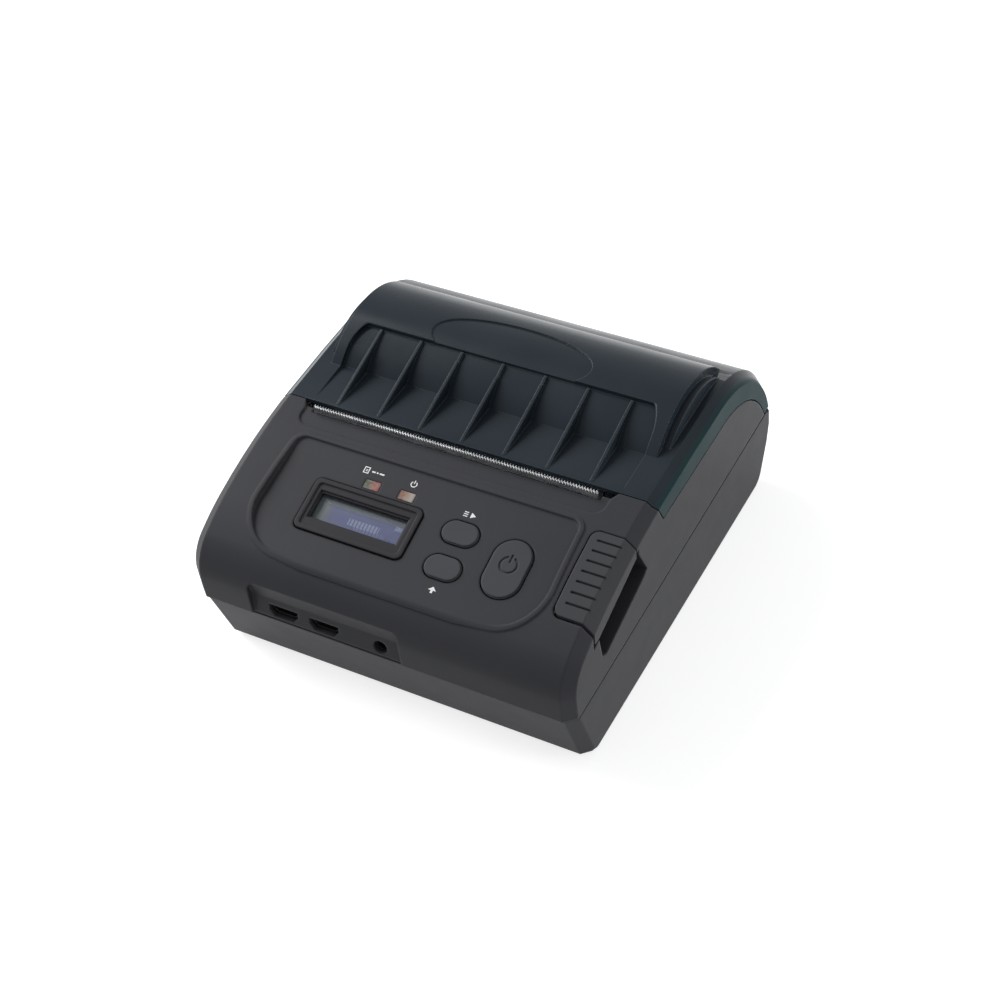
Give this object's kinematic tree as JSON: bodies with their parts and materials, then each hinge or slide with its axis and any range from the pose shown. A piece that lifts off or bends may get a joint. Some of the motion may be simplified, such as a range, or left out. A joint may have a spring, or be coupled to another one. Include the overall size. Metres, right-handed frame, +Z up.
{
  "type": "mobile receipt printer",
  "caption": "Portable battery receipt printer with hinged roll cover, sloping control panel with small display, release lever and toothed tear bar.",
  "frame": {"origin": "middle of the footprint, on the plane that the four feet stand on", "axes": "+Z up, -Y towards the front edge with the sockets, +X to the right seen from the front"},
  "size_m": [0.11, 0.127, 0.0608],
  "materials": {
    "casing": "fine matt",
    "battery_door": "fine matt",
    "battery_wrap": "satin",
    "foot_rubber": "matt",
    "screw_steel": "satin",
    "board": "satin",
    "socket_shell": "matt",
    "display_rim": "satin",
    "window": "clear",
    "display_panel": "satin",
    "red_lens": "translucent",
    "warm_lens": "translucent",
    "key_rubber": "matt",
    "switch_body": "matt",
    "lever": "fine matt",
    "steel": "satin",
    "frame_steel": "satin",
    "head_alloy": "satin",
    "motor_steel": "satin",
    "brass": "satin",
    "gear_plastic": "satin",
    "platen_rubber": "matt",
    "bearing": "satin",
    "blade": "satin",
    "smoked": "satin smoked"
  },
  "bodies": {
    "base": {"lower_case": "casing", "upper_case": "casing", "roll_tray": "casing", "battery_pack": "battery_wrap", "rubber_feet": "foot_rubber", "case_screws": "screw_steel", "main_board": "board", "left_data_socket": "socket_shell", "right_data_socket": "socket_shell", "power_jack": "socket_shell", "panel_board": "board", "display_frame": "display_rim", "display_window": "window", "display_module": "display_panel", "paper_lamp_lens": "red_lens", "power_lamp_lens": "warm_lens", "key_switches": "switch_body", "lever_pin": "steel", "lever_spring": "steel", "print_frame": "frame_steel", "head_springs": "steel", "stepper_motor": "motor_steel", "idler_stud": "steel", "paper_sensor": "switch_body", "cover_switch": "switch_body", "tear_bar": "blade", "hinge_pin": "steel"},
    "battery_door": {"battery_cover": "battery_door"},
    "mode_key": {"mode_button": "key_rubber"},
    "feed_key": {"feed_button": "key_rubber"},
    "power_key": {"power_button": "key_rubber"},
    "lever": {"release_lever": "lever"},
    "head": {"print_head": "head_alloy"},
    "pinion": {"motor_pinion": "brass"},
    "idler": {"idler_gear": "gear_plastic"},
    "cover": {"roll_cover": "smoked", "platen_bearings": "bearing"},
    "platen": {"platen_roller": "platen_rubber", "platen_shaft": "steel", "platen_gear": "gear_plastic"}
  },
  "joints": [
    {"name": "cover_hinge", "type": "hinge", "parent": "base", "child": "cover", "pos_m": [0, 0.06055, 0.0262], "axis": [-1, 0, 0], "range_deg": [0, 95]},
    {"name": "platen_spin", "type": "hinge", "parent": "cover", "child": "platen", "pos_m": [-0.0012, -0.00837, 0.0455], "axis": [1, 0, 0], "continuous": true},
    {"name": "motor_spin", "type": "hinge", "parent": "base", "child": "pinion", "pos_m": [-0.0492, -0.01741, 0.02943], "axis": [1, 0, 0], "continuous": true},
    {"name": "idler_spin", "type": "hinge", "parent": "base", "child": "idler", "pos_m": [-0.0492, -0.01214, 0.03617], "axis": [1, 0, 0], "continuous": true},
    {"name": "head_pivot", "type": "hinge", "parent": "base", "child": "head", "pos_m": [-0.0012, -0.01477, 0.039], "axis": [1, 0, 0], "range_deg": [0, 3], "stiffness_Nm_per_rad": 0.5, "springref_deg": -2.86, "deforming": ["head_springs"]},
    {"name": "lever_pivot", "type": "hinge", "parent": "base", "child": "lever", "pos_m": [0.047, -0.04767, 0.04259], "axis": [1, 0, 0], "range_deg": [0, 18], "stiffness_Nm_per_rad": 0.02, "springref_deg": -17.19, "deforming": ["lever_spring"]},
    {"name": "battery_door_slide", "type": "slide", "parent": "base", "child": "battery_door", "axis": [0, 1, 0], "range_m": [0, 0.006]},
    {"name": "mode_press", "type": "slide", "parent": "base", "child": "mode_key", "axis": [0, 0.284, -0.9588], "range_m": [0, 0.0008], "stiffness_N_per_m": 1500, "springref_m": -0.0004},
    {"name": "feed_press", "type": "slide", "parent": "base", "child": "feed_key", "axis": [0, 0.284, -0.9588], "range_m": [0, 0.0008], "stiffness_N_per_m": 1500, "springref_m": -0.0004},
    {"name": "power_press", "type": "slide", "parent": "base", "child": "power_key", "axis": [0, 0.284, -0.9588], "range_m": [0, 0.0008], "stiffness_N_per_m": 1500, "springref_m": -0.0004}
  ],
  "couplings": [
    {"joint": "motor_spin", "follows": "platen_spin", "ratio": 1.5},
    {"joint": "idler_spin", "follows": "platen_spin", "ratio": -0.81818}
  ]
}
